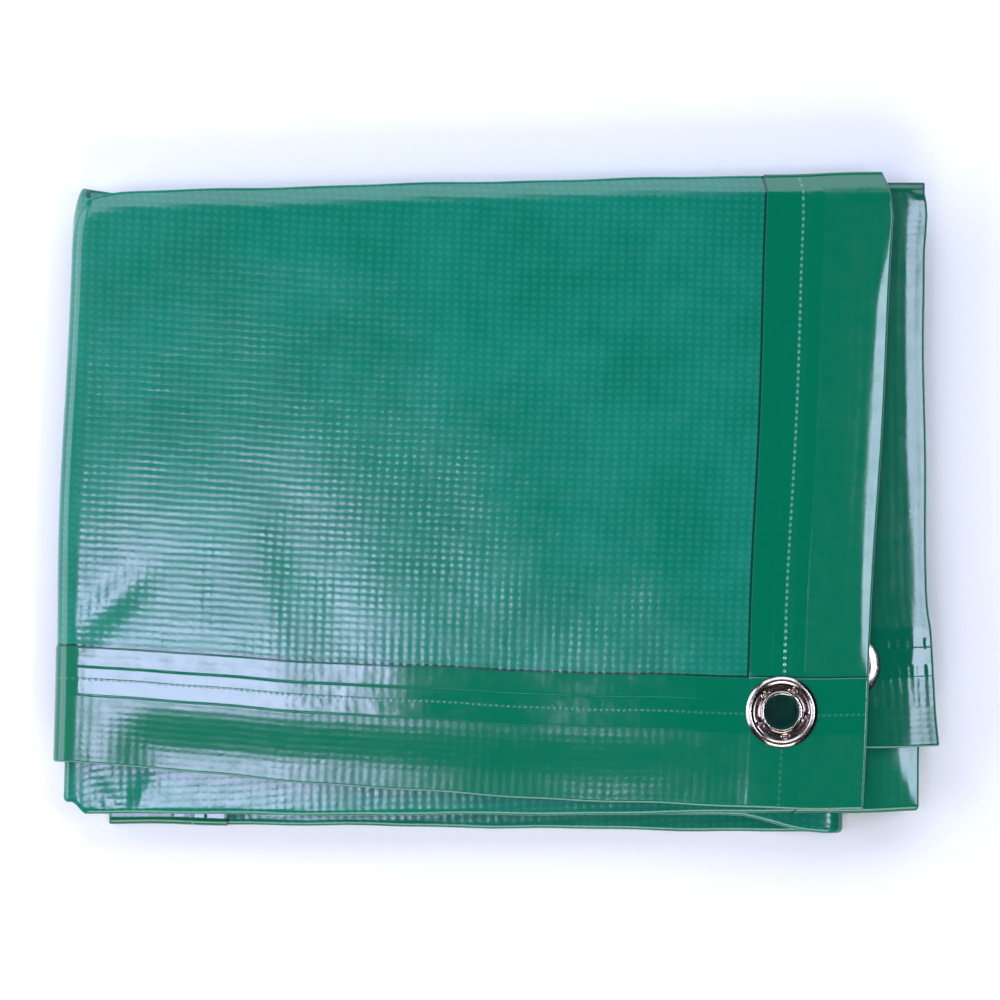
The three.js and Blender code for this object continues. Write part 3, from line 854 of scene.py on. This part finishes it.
def vinylMaterial():
    material, tree = newMaterial("coated_pvc_tarpaulin")
    uv = add(tree, "ShaderNodeUVMap", uv_map="flat")
    place = inMillimetres(tree, uv)
    fromSide, fromFront = add(tree, "ShaderNodeSeparateXYZ", {0: place}).outputs[:2]
    onWasher = add(tree, "ShaderNodeAttribute", attribute_name="washerSide").outputs["Fac"]
    onSmooth = add(tree, "ShaderNodeMath", {0: 1.0, 1: onWasher}, operation="SUBTRACT")
    # open plain weave: ribs along both threads, which wander a little, and a small pillow at each crossing
    wander = add(tree, "ShaderNodeTexNoise", {"Vector": place, **vinyl["wanderNoise"]}).outputs["Color"]
    wander = add(tree, "ShaderNodeVectorMath", {0: wander, 1: (0.5, 0.5, 0.5)}, operation="SUBTRACT")
    wander = add(tree, "ShaderNodeVectorMath", {0: wander, 1: vinyl["wander"]}, operation="MULTIPLY")
    threads = add(tree, "ShaderNodeVectorMath", {0: place, 1: wander}, operation="ADD")
    threads = add(tree, "ShaderNodeSeparateXYZ", {0: threads}).outputs
    ribs = []
    halves = []
    for thread, pitch in zip(threads, vinyl["threadPitches"]):
        turn = add(tree, "ShaderNodeMath", {0: thread, 1: 2 * math.pi / pitch}, operation="MULTIPLY")
        ribs.append(add(tree, "ShaderNodeMath", {0: turn}, operation="COSINE"))
        halves.append(add(tree, "ShaderNodeMath", {0: ribs[-1], 1: 0.5, 2: 0.5}, operation="MULTIPLY_ADD"))
    weave = add(tree, "ShaderNodeMath", {0: halves[0], 1: halves[1]}, operation="MULTIPLY")
    # the film lies thicker here and thinner there
    film = patches(tree, place, *vinyl["film"])
    # welded bands
    frontShare = add(tree, "ShaderNodeMath", {0: fromFront, 1: vinyl["rampSpan"]}, operation="DIVIDE")
    sideShare = add(tree, "ShaderNodeMath", {0: fromSide, 1: vinyl["rampSpan"]}, operation="DIVIDE")
    ramps = {}
    for name, stops in vinyl["ramps"].items():
        share = sideShare if name.startswith("side") else frontShare
        ramps[name] = add(tree, "ShaderNodeValToRGB", {0: share})
        setStops(ramps[name], [(distance / vinyl["rampSpan"], value) for distance, value in stops])
    # the front hem lies over the side hem in the corner, where only a trace of the side weld shows
    pastFront = add(tree, "ShaderNodeMapRange", {0: fromFront, **fromTo(vinyl["pastFront"])})
    sideWeld = add(tree, "ShaderNodeMath", {0: ramps["sideWeld"], 1: pastFront}, operation="MULTIPLY")
    weld = add(tree, "ShaderNodeMath", {0: ramps["frontWeld"], 1: sideWeld}, operation="MAXIMUM")
    wear = patches(tree, place, *vinyl["weldWear"])
    weld = add(tree, "ShaderNodeMath", {0: weld, 1: wear}, operation="MULTIPLY")
    loose = add(tree, "ShaderNodeMath", {0: 1.0, 1: weld}, operation="SUBTRACT")
    inFront = add(tree, "ShaderNodeMapRange", {0: fromFront, **fromTo(vinyl["frontHemEnd"])})
    inSide = add(tree, "ShaderNodeMapRange", {0: fromSide, **fromTo(vinyl["sideHemEnd"])})
    inHem = add(tree, "ShaderNodeMath", {0: inFront, 1: inSide}, operation="MAXIMUM")
    shows = add(tree, "ShaderNodeMapRange", {0: inHem, **fromTo((0.0, 1.0, 1.0, vinyl["hemTexture"]))})
    # heights in millimetres, first the weave
    woven = 0.0
    for pattern, rise in zip([*ribs, weave], vinyl["weaveHeights"]):
        woven = add(tree, "ShaderNodeMath", {0: pattern, 1: rise, 2: woven}, operation="MULTIPLY_ADD")
    for share in (film, loose, shows):
        woven = add(tree, "ShaderNodeMath", {0: woven, 1: share}, operation="MULTIPLY")
    imprint = ramps["imprint"]
    for share in (ribs[0], onSmooth, film):
        imprint = add(tree, "ShaderNodeMath", {0: imprint, 1: share}, operation="MULTIPLY")
    woven = add(tree, "ShaderNodeMath", {0: imprint, 1: vinyl["imprint"], 2: woven}, operation="MULTIPLY_ADD")
    # grooves and beads
    lines = add(tree, "ShaderNodeMath", {0: ramps["frontLines"], 1: 0.5}, operation="SUBTRACT")
    sideLines = add(tree, "ShaderNodeMath", {0: ramps["sideLines"], 1: 0.5}, operation="SUBTRACT")
    sideLines = add(tree, "ShaderNodeMath", {0: sideLines, 1: pastFront}, operation="MULTIPLY")
    lines = add(tree, "ShaderNodeMath", {0: lines, 1: sideLines}, operation="ADD")
    lines = add(tree, "ShaderNodeMath", {0: lines, 1: vinyl["lineHeight"]}, operation="MULTIPLY")
    # the welding wheel's marks: short dashes along the middle of each weld
    dashes = []
    for distance, along, (middleOfWeld, period), share in (
        (fromSide, fromFront, vinyl["sideDashes"], pastFront),
        (fromFront, fromSide, vinyl["frontDashes"], vinyl["frontDashShare"]),
    ):
        band = lineAt(tree, distance, middleOfWeld, *vinyl["dashWidth"])
        beat = add(tree, "ShaderNodeMath", {0: along, 1: 2 * math.pi / period}, operation="MULTIPLY")
        beat = add(tree, "ShaderNodeMath", {0: beat}, operation="SINE")
        beat = add(tree, "ShaderNodeMapRange", {0: beat, **fromTo(vinyl["dashBeat"])})
        dash = add(tree, "ShaderNodeMath", {0: band, 1: beat}, operation="MULTIPLY")
        dashes.append(add(tree, "ShaderNodeMath", {0: dash, 1: share}, operation="MULTIPLY"))
    dash = add(tree, "ShaderNodeMath", {0: dashes[0], 1: dashes[1]}, operation="MAXIMUM")
    dash = add(tree, "ShaderNodeMath", {0: dash, 1: onWasher}, operation="MULTIPLY")
    pressed = add(tree, "ShaderNodeMath", {0: dash, 1: vinyl["dashHeight"]}, operation="MULTIPLY")
    # the film's own unevenness
    dents = add(tree, "ShaderNodeTexNoise", {"Vector": place, **vinyl["dentNoise"]})
    dents = add(tree, "ShaderNodeMath", {0: dents, 1: vinyl["dentHeight"]}, operation="MULTIPLY")
    height = woven
    for part in (lines, pressed, dents):
        height = add(tree, "ShaderNodeMath", {0: height, 1: part}, operation="ADD")
    bump = add(tree, "ShaderNodeBump", {"Strength": 1.0, "Distance": 0.001, "Height": height})
    # colour: lighter on the pillows, partly a painted glint of the weave; deeper in the welds; deeper on the
    # smooth side, partly painted shade
    tone = patches(tree, place, *vinyl["tone"])
    pillow = add(tree, "ShaderNodeMapRange", {0: weave, **fromTo(vinyl["pillow"])})
    toneAndWeaveGlint = add(tree, "ShaderNodeMath", {0: tone, 1: pillow}, operation="ADD")
    toneAndWeaveGlint = add(tree, "ShaderNodeMath", {0: toneAndWeaveGlint, 1: loose}, operation="MULTIPLY")
    # the smooth side's deeper green is partly painted shade
    under = add(tree, "ShaderNodeMath", {0: onSmooth, 1: vinyl["smoothSide"]}, operation="MULTIPLY")
    # the line in the step beside the turned hem: a dark gap with painted shadow beside the body, and a
    # painted highlight where hem lies on hem
    sideStep = lineAt(tree, fromSide, *vinyl["sideStep"])
    beyond = add(tree, "ShaderNodeMath", {0: fromFront, 1: vinyl["sideStepFrom"]}, operation="GREATER_THAN")
    sideStep = add(tree, "ShaderNodeMath", {0: sideStep, 1: beyond}, operation="MULTIPLY")
    step = lineAt(tree, fromFront, *vinyl["frontStep"])
    step = add(tree, "ShaderNodeMath", {0: step, 1: sideStep}, operation="MAXIMUM")
    for share in (onWasher, vinyl["stepLine"]):
        step = add(tree, "ShaderNodeMath", {0: step, 1: share}, operation="MULTIPLY")
    overSide = add(tree, "ShaderNodeMath", {0: inSide, 1: inFront}, operation="MULTIPLY")
    stepGapAndShadow, paleEdgeAndHighlight = srgb(vinyl["stepGapAndShadow"]), srgb(vinyl["paleEdgeAndHighlight"])
    stepShadowAndHighlight = add(tree, "ShaderNodeMix", {0: overSide, 6: stepGapAndShadow, 7: paleEdgeAndHighlight}, data_type="RGBA")
    # only on the rim do both sides have a share; there the pale edge colour is partly a painted highlight
    rim = add(tree, "ShaderNodeMath", {0: onWasher, 1: under}, operation="MULTIPLY")
    rim = add(tree, "ShaderNodeMapRange", {0: rim, **fromTo(vinyl["rim"])})
    # little light gets down the open eyelet
    spot = inMillimetres(tree, add(tree, "ShaderNodeNewGeometry").outputs["Position"])
    spot = add(tree, "ShaderNodeVectorMath", {0: spot, 1: vinyl["wellAt"]}, operation="DISTANCE")
    well = add(tree, "ShaderNodeMapRange", {0: spot, **fromTo(vinyl["well"])})
    # painted highlight: the glints on the welding wheel's dashes are painted pale
    dashGlintShare = add(tree, "ShaderNodeMath", {0: dash, 1: vinyl["dashGlintStrength"]}, operation="MULTIPLY")
    colour = srgb(vinyl["green"])
    for share, over in (
        (toneAndWeaveGlint, srgb(vinyl["greenThinFilmAndGlint"])),
        (inHem, srgb(vinyl["greenHem"])),
        (under, srgb(vinyl["greenDeepAndShade"])),
        (step, stepShadowAndHighlight),
        (rim, paleEdgeAndHighlight),
        (well, srgb(vinyl["shade"])),
        (dashGlintShare, srgb(vinyl["dashGlint"])),
    ):
        colour = add(tree, "ShaderNodeMix", {0: share, 6: colour, 7: over}, data_type="RGBA")
    # gloss: clearer on the welds, duller where the film is scuffed
    scuff = patches(tree, place, *vinyl["scuff"])
    glossSpan = (0.0, 1.0, vinyl["roughness"], vinyl["weldRoughness"])
    rough = add(tree, "ShaderNodeMapRange", {0: weld, **fromTo(glossSpan)})
    rough = add(tree, "ShaderNodeMath", {0: rough, 1: scuff}, operation="ADD")
    inputs = {"Base Color": colour, "Roughness": rough, "IOR": vinyl["ior"], "Normal": bump}
    shade(tree, inputs)
    return material


# Drawn brass, nickel plated and barrel polished: bright on its rims, with faint scratches and a cloudy
# brown-grey tone; in the washer's trough the brown-grey is a painted reflection of the warm surroundings
nickel = {
    "plate": "#C2BAAE",
    # brown-grey: a random cloudy tone, and the painted reflection in the trough
    "tintAndReflection": "#7A695A",
    "cloudNoise": {"Scale": 0.35, "Detail": 4.0, "Roughness": 0.6},
    "cloud": (0.35, 0.75, 0.0, 0.75),
    "scratchNoise": {"Scale": 1.6, "Detail": 3.0, "Distortion": 1.4},
    "roughness": (0.3, 0.7, 0.12, 0.22),
    "bump": 0.000006,
    "flangeAt": (102.82, -75.03, 25.0),  # mm, middle of the open eyelet's flange
    "trough": (9.0, 1.3, 2.0, 0.9),  # the painted reflection in the washer's trough: radius, full, gone and strength
}


def nickelMaterial():
    material, tree = newMaterial("nickel_plated_brass")
    where = inMillimetres(tree, add(tree, "ShaderNodeNewGeometry").outputs["Position"])
    cloudy = add(tree, "ShaderNodeTexNoise", {"Vector": where, **nickel["cloudNoise"]})
    scratch = add(tree, "ShaderNodeTexNoise", {"Vector": where, **nickel["scratchNoise"]})
    mix = add(tree, "ShaderNodeMapRange", {0: cloudy, **fromTo(nickel["cloud"])})
    # painted reflection of the warm surroundings in the washer's trough
    reach = add(tree, "ShaderNodeVectorMath", {0: where, 1: nickel["flangeAt"]}, operation="DISTANCE")
    troughReflection = lineAt(tree, reach, *nickel["trough"])
    mix = add(tree, "ShaderNodeMath", {0: mix, 1: troughReflection}, operation="MAXIMUM")
    tones = {6: srgb(nickel["plate"]), 7: srgb(nickel["tintAndReflection"])}
    colour = add(tree, "ShaderNodeMix", {0: mix, **tones}, data_type="RGBA")
    rough = add(tree, "ShaderNodeMapRange", {0: scratch, **fromTo(nickel["roughness"])})
    height = add(tree, "ShaderNodeMath", {0: cloudy, 1: scratch}, operation="ADD")
    bump = add(tree, "ShaderNodeBump", {"Strength": 1.0, "Distance": nickel["bump"], "Height": height})
    inputs = {"Base Color": colour, "Metallic": 1.0, "Roughness": rough, "Normal": bump}
    shade(tree, inputs)
    return material


tarpCloth.data.materials.append(vinylMaterial())
plated = nickelMaterial()
for piece in metalPieces:
    piece.data.materials.append(plated)

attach(tarpCloth, "root")
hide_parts("tarp_sheet")
print("materials done")


# Photo studio: a pale table, soft boxes and a long lens straight above, in metres
studio = {
    "floorColour": "#FAFAF8",
    "floorHalf": 4,
    "grain": {"Scale": 400.0, "Detail": 3.0},
    "grainBump": {"Strength": 0.05, "Distance": 0.0005},
    "floorRoughness": 0.7,
    "worldColour": "#E6ECF4",
    "worldStrength": 0.02,
    "cameraHeight": 2.7755,
    "lens": 275.0,
    "sensor": 36.0,
    "clipEnd": 20.0,
    "centre": (0.00132, 0.00131),
    # place, size, aim, power, colour
    "lights": {
        "frontLeftBox": ((-0.165, -0.125, 1.35), (0.17, 0.17), (-0.165, -0.125, 0.0), 1.8, "#D2CEFF"),
        "rightBox": ((0.53, 0.01, 1.2), (0.22, 0.42), (0.05, 0.0, 0.0), 4.3, "#D3E0FF"),
        "ceiling": ((-1.0, 0.1, 1.8), (1.5, 1.5), (-1.0, 0.1, 0.0), 3.0, "#DDE4FF"),
        "backPanel": ((0.0, 1.15, 1.0), (1.7, 1.1), (0.0, 0.1, 0.0), 19.0, "#DFE6FF"),
        "leftSide": ((-1.3, 0.15, 0.6), (1.1, 1.7), (-0.1, 0.0, 0.0), 25.0, "#E4E2FF"),
        "frontSide": ((0.1, -1.35, 0.95), (1.1, 0.8), (0.0, 0.0, 0.0), 15.0, "#FFFFFF"),
    },
}


# Board painted matt white: it stays pale and even, and keeps the shadows soft
def floorMaterial():
    material, tree = newMaterial("matt_painted_table")
    where = add(tree, "ShaderNodeNewGeometry").outputs["Position"]
    grain = add(tree, "ShaderNodeTexNoise", {"Vector": where, **studio["grain"]})
    bump = add(tree, "ShaderNodeBump", {"Height": grain, **studio["grainBump"]})
    colour = srgb(studio["floorColour"])
    inputs = {"Base Color": colour, "Roughness": studio["floorRoughness"], "Normal": bump}
    shade(tree, inputs)
    return material


floorMesh = bpy.data.meshes.new("table")
half = studio["floorHalf"]
floorCorners = [(-half, -half, 0), (half, -half, 0), (half, half, 0), (-half, half, 0)]
floorMesh.from_pydata(floorCorners, [], [(0, 1, 2, 3)])
floor = placed("table_top", floorMesh)
floorMesh.materials.append(floorMaterial())

world = bpy.data.worlds.new("studio")
world.use_nodes = True
world.node_tree.nodes["Background"].inputs[0].default_value = srgb(studio["worldColour"])
world.node_tree.nodes["Background"].inputs[1].default_value = studio["worldStrength"]
bpy.context.scene.world = world

for name, (place, size, aim, power, colour) in studio["lights"].items():
    data = bpy.data.lights.new(name, "AREA")
    data.shape = "RECTANGLE"
    data.size, data.size_y = size
    data.energy = power
    data.color = srgb(colour)[:3]
    lamp = placed(name, data)
    lamp.location = place
    # the first size runs along world X, the second across it
    back = (Vector(place) - Vector(aim)).normalized()
    sideways = (Vector((1, 0, 0)) - back * back.x).normalized()
    lamp.rotation_euler = Matrix((sideways, back.cross(sideways), back)).transposed().to_euler()
    lamp.visible_camera = False

cameraData = bpy.data.cameras.new("camera")
cameraData.lens = studio["lens"]
cameraData.sensor_width = studio["sensor"]
cameraData.clip_end = studio["clipEnd"]
camera = placed("camera", cameraData)
camera.location = (*studio["centre"], studio["cameraHeight"])
bpy.context.scene.camera = camera
bpy.context.scene.view_settings.view_transform = "Standard"
print("studio set")
